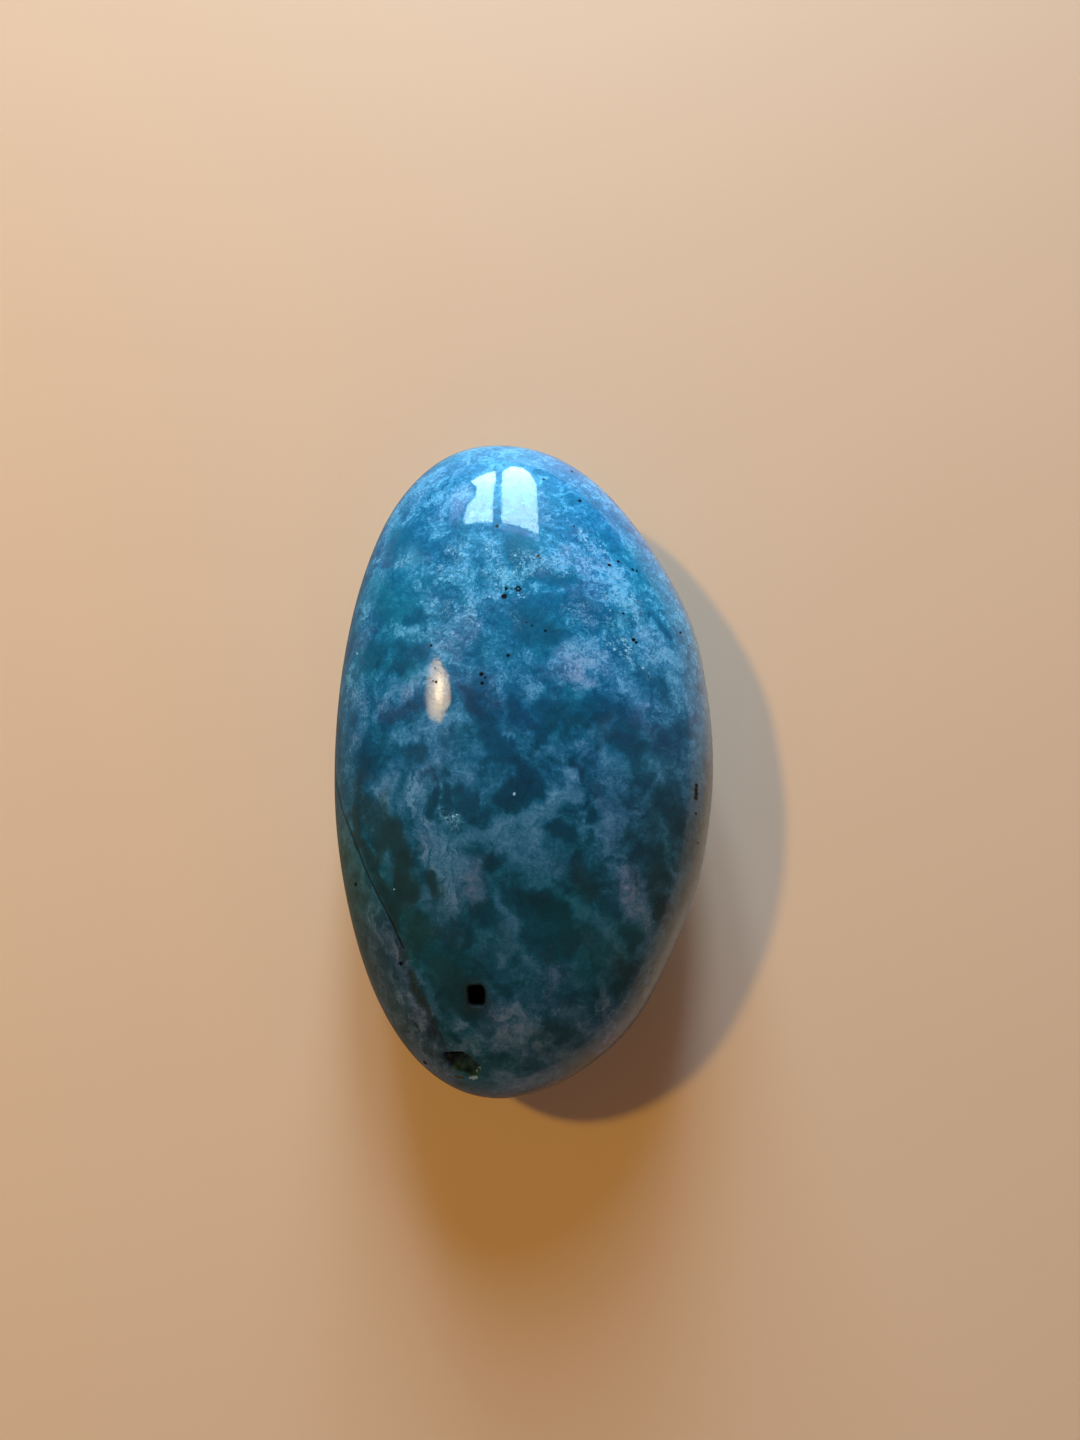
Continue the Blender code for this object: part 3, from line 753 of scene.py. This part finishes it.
def amazoniteBody(add, look, mark, pattern, swirled, across, along):
    # the stone's own colour, and how far each point belongs to the bright upper end
    tone = amazoniteTone(add, look, mark, pattern, swirled, along)
    # bright cyan at one end, deep teal at the other, with a swaying border
    sway = add(timesPlus, (pattern["cloud"], look["borderSway"], -look["borderSway"] / 2))
    lengthwise = add(plus, (along, sway))
    upward = add(softRange, (lengthwise, *look["pureEnds"]))
    upper = toneRamp(add, look, tone, look["upperTones"])
    lower = toneRamp(add, look, tone, look["lowerTones"])
    body = add(mixColours, {0: upward, 6: lower, 7: upper})

    # slow change of hue: turquoise to lavender, and bottle green in the darkest pools
    hueGrain = add(noiseKind, {"Vector": swirled, "Scale": 1 / look["hueGrain"], "Detail": 5.0,
                               "Roughness": 0.6, "W": 5.0}, noise_dimensions="4D")
    wildHue = add(rangeKind, (hueGrain, *look["wildHue"]))
    lavender = add(timesPlus, (pattern["tuft"], *look["lavenderTufts"]), use_clamp=True)
    lavender = add(times, (mark["lavender"], lavender))
    pinkness = add(timesPlus, (lavender, look["lavenderPink"], wildHue))
    hue = add(timesPlus, (pinkness, look["pinkHue"], 0.5))
    greyed = add(larger, (pinkness, 0.0))
    saturation = add(timesPlus, (greyed, look["pinkGrey"], 1.0))
    brightness = 1.0
    for kind, (hueChange, saturationChange, brightnessChange) in look["markChanges"].items():
        hue = add(timesPlus, (mark[kind], hueChange, hue))
        saturation = add(timesPlus, (mark[kind], saturationChange, saturation))
        brightness = add(timesPlus, (mark[kind], brightnessChange, brightness))
    fromMiddle = add(times, (lengthwise, 1 / look["middleWidth"]))
    squared = add(times, (fromMiddle, fromMiddle))
    for row in ((squared, 1.0, 0.0, 0.0, look["middleHue"]), (across, *look["rightHue"]),
                (along, *look["tipHue"])):
        hue = add(plus, (hue, add(rangeKind, row)))
    flankHue = add(rangeKind, (along, *look["flankHue"]))
    hue = add(timesPlus, (mark["flank"], flankHue, hue))
    # painted light and shade: across the upper end the right is painted brighter and the left
    # darker; the lower right is a little milky
    paintedLight = add(rangeKind, (across, *look["paintedLightBrightness"]))
    brightness = add(timesPlus, (paintedLight, upward, brightness))
    milky = add(rangeKind, (across, *look["milkySide"]))
    milky = add(times, (add(minus, (1.0, upward)), milky))
    saturation = add(timesPlus, (milky, look["milkyChange"][0], saturation))
    brightness = add(timesPlus, (milky, look["milkyChange"][1], brightness))
    body = add("ShaderNodeHueSaturation", {"Hue": hue, "Saturation": saturation,
                                           "Value": brightness, "Color": body})
    return body, upward


def paintedCrystalFlash(add, look, mark, pattern, place, swirled, upward):
    # painted highlight: crumbs of cleaved crystal painted bright as if catching the light, thick in
    # the placed glint marks, thin at the bright end
    flake = add(noiseKind, {"Vector": place, "Scale": 1 / look["flakeGrain"], "Detail": 2.0,
                            "Roughness": 0.6, "Distortion": 0.6})
    flake = add(rangeKind, (flake, *look["flakeCut"]))
    # and thin painted bright seams between the crystals
    seam = add(noiseKind, {"Vector": swirled, "Scale": 1 / look["seamGrain"], "Detail": 3.0,
                           "Roughness": 0.6, "W": 3.0}, noise_dimensions="4D")
    seam = add(mathKind, (add(minus, (seam, 0.5)),), operation="ABSOLUTE")
    seam = add(rangeKind, (seam, *look["seamWidth"], 0.0, look["seamStrength"]))
    flake = add(larger, (flake, seam))
    placed = add(times, (mark["paintedGlints"], look["paintedGlintStrength"]))
    scatter = add(timesPlus, (upward, look["scatteredPaintedGlints"], placed), use_clamp=True)
    cluster = add(rangeKind, (pattern["tuft"], *look["clusterCut"]))
    paintedFlash = add(times, (flake, cluster))
    return add(times, (paintedFlash, scatter), use_clamp=True)


def hollowCovers(add, look, mark, pattern, place, colour, find):
    # cover and colour of the crack, the pit with its painted shade and dark halo, and the chip with
    # painted shade in its upper left
    olive = add(rangeKind, (pattern["chip"], *look["oliveCut"]))
    chipColour = add(mixColours, {0: olive, 6: colour["chipFloor"], 7: colour["chipOlive"]})
    # painted shade, dark brown, towards the chip's upper left under its overhanging edge
    shadedCorner = add(vectorKind, (place, tuple(find(*look["shadedCornerPlace"]))), output="Value",
                operation="DISTANCE")
    shadedCorner = add(timesPlus, (pattern["tuft"], look["shadedCornerRaggedness"], shadedCorner))
    shadedCorner = add(rangeKind, (shadedCorner, *look["shadedCornerReach"]))
    chipColour = add(mixColours, {0: shadedCorner, 6: chipColour, 7: colour["chipShadeBrown"]})
    halo = add(rangeKind, (mark["pitHalo"], *look["haloRim"]))
    chipEdge = add(timesPlus, (pattern["tuft"], look["chipRaggedness"], mark["chip"]))
    return [
        (add(times, (mark["crack"], look["crackCover"])), colour["crackLine"]),
        (add(timesPlus, (mark["pitHalo"], look["haloCover"], halo)), colour["pitHalo"]),
        # painted shade inside the pit
        (add(rangeKind, (mark["pit"], *look["pitShadeCut"])), colour["pitShade"]),
        (add(rangeKind, (chipEdge, *look["chipCover"])), chipColour),
    ]


def grainCover(add, look, pattern, place, rows, find):
    # cover of small uneven balls: grains in the stone, and the painted highlights of crystal and
    # chip
    closest = farAway
    for x, y, radius in rows:
        offset = add(vectorKind, (place, tuple(find(x, y))), operation="SUBTRACT")
        offset = add(vectorKind, (offset, look["grainShape"]), operation="MULTIPLY")
        gap = add(vectorKind, (offset,), output="Value", operation="LENGTH")
        gap = add(times, (gap, 1 / radius))
        closest = add(mathKind, (gap, closest), operation="MINIMUM")
    closest = add(timesPlus, (pattern["crumb"], look["grainRaggedness"], closest))
    return add(rangeKind, (closest, *look["grainEdge"]))


def amazoniteMaterial(find):
    look = amazonite
    colour = {name: linearColour(value) for name, value in look.items() if isinstance(value, str)}
    material = bpy.data.materials.new("polishedAmazoniteFeldspar")
    add = emptyTree(material)
    mark = {kind: add("ShaderNodeAttribute", output="Fac", attribute_name=kind,
                      attribute_type="GEOMETRY") for kind in markKinds}

    # all patterns are laid out in mm on the stone itself, and most are swirled a little
    coordinates = add("ShaderNodeTexCoord", output="Object")
    place = add(vectorKind, {0: coordinates, "Scale": 1 / mm}, operation="SCALE")
    across = add("ShaderNodeSeparateXYZ", (place,))
    along = across.node.outputs["Y"]
    wander = add(noiseKind, {"Vector": place, "Scale": 1 / look["swirlGrain"], "Detail": 6.0,
                             "Roughness": 0.66}, output="Color")
    wander = add(vectorKind, (wander, (0.5, 0.5, 0.5)), operation="SUBTRACT")
    swirled = add(vectorKind, (wander, (look["swirl"],) * 3, place), operation="MULTIPLY_ADD")
    pattern = {}
    for base, group in ((swirled, "swirledPatterns"), (place, "plainPatterns")):
        for name, (grain, detail, roughness) in look[group].items():
            pattern[name] = add(noiseKind, {"Vector": base, "Scale": 1 / grain, "Detail": detail,
                                            "Roughness": roughness})

    body, upward = amazoniteBody(add, look, mark, pattern, swirled, across, along)
    # painted highlight: bright crumbs and seams of cleaved crystal laid over the stone's colour
    paintedFlash = paintedCrystalFlash(add, look, mark, pattern, place, swirled, upward)
    layers = [(paintedFlash, colour["paintedSparks"])]
    layers += hollowCovers(add, look, mark, pattern, place, colour, find)
    grains = {kind: grainCover(add, look, pattern, place, stoneMarks[kind], find)
              for kind in ("paintedSparks", "specks", "rust", "glare")}
    layers += [(cover, colour[kind]) for kind, cover in grains.items()]
    for cover, tint in layers:
        body = add(mixColours, {0: cover, 6: body, 7: tint})

    # the chip, the lip of the pit and the black grains have broken out of the polish
    lip = add(rangeKind, (mark["pitHalo"], *look["lipCut"]))
    rough = add(larger, (lip, mark["chip"]))
    roughness = add(timesPlus, (rough, look["brokenRoughness"], look["bodyRoughness"]),
                    use_clamp=True)
    # and fine scratches dull it a little
    scratch = add(noiseKind, {"Vector": place, "Scale": 1 / look["scratchGrain"], "Detail": 2.0,
                              "Distortion": 1.4, "W": 9.0}, noise_dimensions="4D")
    scratch = add(mathKind, (add(minus, (scratch, 0.5)),), operation="ABSOLUTE")
    scratch = add(rangeKind, (scratch, *look["scratchWidth"], 0.0, look["scratchDulling"]))
    unpolished = add(rangeKind, (mark["chip"], *look["brokenChipCut"]))
    for cover in (lip, grains["specks"], scratch):
        unpolished = add(larger, (unpolished, cover))
    coat = add(minus, (1.0, unpolished))

    # faint ripples of the polish, and crystal faces that tilt below it
    skin = add("ShaderNodeBump", {"Height": pattern["ripple"],
                                  "Distance": look["rippleHeight"] * mm})
    inner = add("ShaderNodeBump", {"Height": pattern["crumb"],
                                   "Distance": look["innerHeight"] * mm, "Normal": skin})
    shader = add("ShaderNodeBsdfPrincipled", {
        "Base Color": body, "Roughness": roughness, "IOR": look["ior"], "Normal": inner,
        "Specular IOR Level": look["bodySpecular"], "Coat Weight": coat,
        "Coat Roughness": look["coatRoughness"], "Coat IOR": look["ior"], "Coat Normal": skin})
    add("ShaderNodeOutputMaterial", {"Surface": shader})
    return material


stone.data.materials.append(amazoniteMaterial(findCrown))
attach(stone, "root")
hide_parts("amazonite_stone")
print("3 of 5: amazonite finished")

# Floor and light: places in metres, directions in degrees (azimuth from +X towards +Y, elevation)
studio = {
    "floorColour": "#e6d3b0",  # matte cream paint
    "floorRoughness": 0.7,
    "floorReach": 2.0,  # from the middle to each edge
    "windowDistance": 0.5,
    "windowPanes": [  # azimuth from, to, elevation from, to
        (82.0, 94.0, 2.0, 41.0),
        (97.5, 105.0, 4.0, 36.0),
    ],
    "windowRadiance": 25.5,
    "windowColour": "#cbdeff",
    "lampDirection": (154.0, 54.0),
    "lampDistance": 0.6,
    "lampSize": 0.04,
    "lampPower": 1.25,
    "lampColour": "#ffc044",
    "fillDirection": (-90.0, 32.0),  # cool light thrown back from the near side
    "fillDistance": 0.6,
    "fillSize": 0.4,
    "fillPower": 0.34,
    "fillColour": "#c4dcff",
    "airColour": "#c08048",  # warm bounce of the room
    "airStrength": 0.3,
    "airMirrored": 0.08,  # the room seen in the polish is darker
    "leftDimming": 0.82,  # of the floor in the polish
    "rightDimming": 0.12,
    "dimmingReach": 0.03,
    "aim": (0, 0, 0.01),  # the lamps look at the middle of the stone
    "softboxes": [  # what the polish mirrors; corners as directions
        {
            "name": "rightPane",
            "corners": [(92.3, 13.0), (88.8, 6.8), (84.4, 5.7), (81.0, 10.0), (78.8, 17.1),
                        (78.2, 40.9), (87.6, 40.3), (96.0, 39.5)],
            "colour": "#d6fbff", "strength": 12.6, "distance": 0.50,
            "heart": (87.0, 11.0), "core": (0.14, 6.0),  # the sky is whitest low in the pane
        },
        {
            "name": "leftPane",
            "corners": [(95.0, 11.5), (99.5, 13.2), (106.8, 16.1), (104.7, 21.5), (106.2, 26.1),
                        (110.5, 27.9), (114.4, 33.2), (112.6, 35.0), (100.6, 38.7), (97.8, 26.8)],
            "colour": "#d6fbff", "strength": 12.6, "distance": 0.50,
            "heart": (99.5, 17.5), "core": (0.10, 6.0),
        },
        {
            "name": "curtain",
            "corners": [(113.7, 13.0), (108.2, 16.5), (106.6, 22.1), (107.9, 25.4), (112.4, 27.6),
                        (117.0, 33.2), (121.0, 28.0)],
            "colour": "#dcc8ff", "strength": 2.8, "distance": 0.51,
            "heart": (111.5, 24.0), "fade": (0.02, 0.11),
        },
        {
            "name": "windowSill",
            "corners": [(97.2, 40.2), (87.5, 41.1), (78.1, 41.8), (78.1, 43.4), (87.7, 42.8),
                        (97.4, 41.8)],
            "colour": "#c6b8ff", "strength": 2.6, "distance": 0.51,
        },
        {
            "name": "lampShade",
            "corners": [(147.4, 51.0), (147.8, 57.6), (152.0, 60.4), (159.8, 57.4), (161.6, 52.0),
                        (158.0, 47.6), (151.8, 48.2)],
            "colour": "#ffdcaa", "strength": 12.6, "distance": 0.60,
            "heart": (153.2, 54.6), "fade": (0.025, 0.085), "core": (0.03, 20.0),
        },
    ],
}


def direction(azimuth, elevation):
    a, e = radians(azimuth), radians(elevation)
    return Vector((math.cos(a) * math.cos(e), math.sin(a) * math.cos(e), math.sin(e)))


def buildFloor():
    material = bpy.data.materials.new("mattePaint")
    add = emptyTree(material)
    # the polish mirrors the left of the floor more weakly than the right
    mirrored = add("ShaderNodeLightPath", output="Is Glossy Ray")
    coordinates = add("ShaderNodeTexCoord", output="Object")
    across = add("ShaderNodeSeparateXYZ", (coordinates,))
    side = studio["dimmingReach"]
    leftness = add(softRange, (across, side, -side, studio["rightDimming"], studio["leftDimming"]))
    dimming = add(times, (mirrored, leftness))
    black = (0, 0, 0, 1)
    cream = linearColour(studio["floorColour"])
    paint = add(mixColours, {0: dimming, 6: cream, 7: black})
    shader = add("ShaderNodeBsdfPrincipled",
                 {"Base Color": paint, "Roughness": studio["floorRoughness"]})
    add("ShaderNodeOutputMaterial", {"Surface": shader})
    shape = bmesh.new()
    bmesh.ops.create_grid(shape, x_segments=1, y_segments=1, size=studio["floorReach"])
    newObject("floor", shape, material)


def addAreaLight(name, location, target, size, power, colour):
    lamp = bpy.data.lights.new(name, "AREA")
    lamp.shape = "DISK" if len(size) == 1 else "RECTANGLE"
    lamp.size = size[0]
    lamp.size_y = size[-1]
    lamp.energy = power
    lamp.color = linearColour(colour)[:3]
    holder = bpy.data.objects.new(name, lamp)
    holder.location = location
    holder.rotation_euler = (Vector(target) - Vector(location)).to_track_quat("-Z", "Y").to_euler()
    holder.visible_glossy = False  # the softboxes below are what the polish mirrors
    holder.visible_camera = False
    bpy.context.scene.collection.objects.link(holder)


def addSoftbox(box):
    corners = [direction(*c) * box["distance"] for c in box["corners"]]
    material = bpy.data.materials.new(box["name"])
    add = emptyTree(material)
    middle = direction(*box.get("heart", box["corners"][0])) * box["distance"]
    coordinates = add("ShaderNodeTexCoord", output="Object")
    gap = add(vectorKind, (coordinates, middle), output="Value", operation="DISTANCE")
    full, gone = box.get("fade", (farAway, farAway + 1))
    strength = add(softRange, (gap, full, gone, box["strength"], 0.0))
    reach, extra = box.get("core", (1.0, 0.0))
    core = add(softRange, (gap, 0.0, reach, extra, 0.0))
    strength = add(plus, (strength, core))
    glow = add("ShaderNodeEmission", {"Color": linearColour(box["colour"]), "Strength": strength})
    add("ShaderNodeOutputMaterial", {"Surface": glow})
    shape = bmesh.new()
    shape.faces.new([shape.verts.new(corner) for corner in corners])
    panel = newObject(box["name"], shape, material)
    panel.visible_camera = False
    panel.visible_diffuse = False
    panel.visible_shadow = False


def buildLights():
    distance = studio["windowDistance"]
    for index, (azimuthA, azimuthB, lowest, highest) in enumerate(studio["windowPanes"]):
        right = distance / math.tan(radians(azimuthA))
        left = distance / math.tan(radians(azimuthB))
        low = distance * math.tan(radians(lowest))
        high = distance * math.tan(radians(highest))
        middle = Vector(((left + right) / 2, distance, (low + high) / 2))
        size = (right - left, high - low)
        power = studio["windowRadiance"] * math.pi * size[0] * size[1]
        inward = middle - Vector((0, 1, 0))
        addAreaLight(f"windowLight{index}", middle, inward, size, power, studio["windowColour"])
    for kind in ("lamp", "fill"):
        place = direction(*studio[kind + "Direction"]) * studio[kind + "Distance"]
        addAreaLight(kind + "Light", place, studio["aim"], (studio[kind + "Size"],),
                     studio[kind + "Power"], studio[kind + "Colour"])
    for box in studio["softboxes"]:
        addSoftbox(box)
    world = bpy.data.worlds.new("roomAir")
    add = emptyTree(world)
    mirrored = add("ShaderNodeLightPath", output="Is Glossy Ray")
    strength = add(rangeKind, (mirrored, 0.0, 1.0, studio["airStrength"], studio["airMirrored"]))
    air = add("ShaderNodeBackground",
              {"Color": linearColour(studio["airColour"]), "Strength": strength})
    add("ShaderNodeOutputWorld", {"Surface": air})
    bpy.context.scene.world = world
    bpy.context.scene.view_settings.view_transform = "Standard"


buildFloor()
buildLights()
print("4 of 5: floor and lights")

view = {
    "place": (1.54, -12.51, 118.4),  # mm
    "tilt": 0.15,  # radians from straight down, towards +Y
    "roll": -0.012,
    "lens": 27.0,  # mm
    "sensor": 36.0,
    "nearest": 0.005,  # metres, the camera sees nothing nearer
}


def buildCamera():
    lens = bpy.data.cameras.new("photoView")
    lens.lens = view["lens"]
    lens.sensor_width = view["sensor"]
    lens.sensor_fit = "AUTO"
    lens.clip_start = view["nearest"]
    camera = bpy.data.objects.new("photoView", lens)
    camera.matrix_world = (
        Matrix.Translation(Vector(view["place"]) * mm)
        @ Matrix.Rotation(view["tilt"], 4, "X")
        @ Matrix.Rotation(view["roll"], 4, "Z")
    )
    bpy.context.scene.collection.objects.link(camera)
    bpy.context.scene.camera = camera


buildCamera()
print("5 of 5: camera placed")
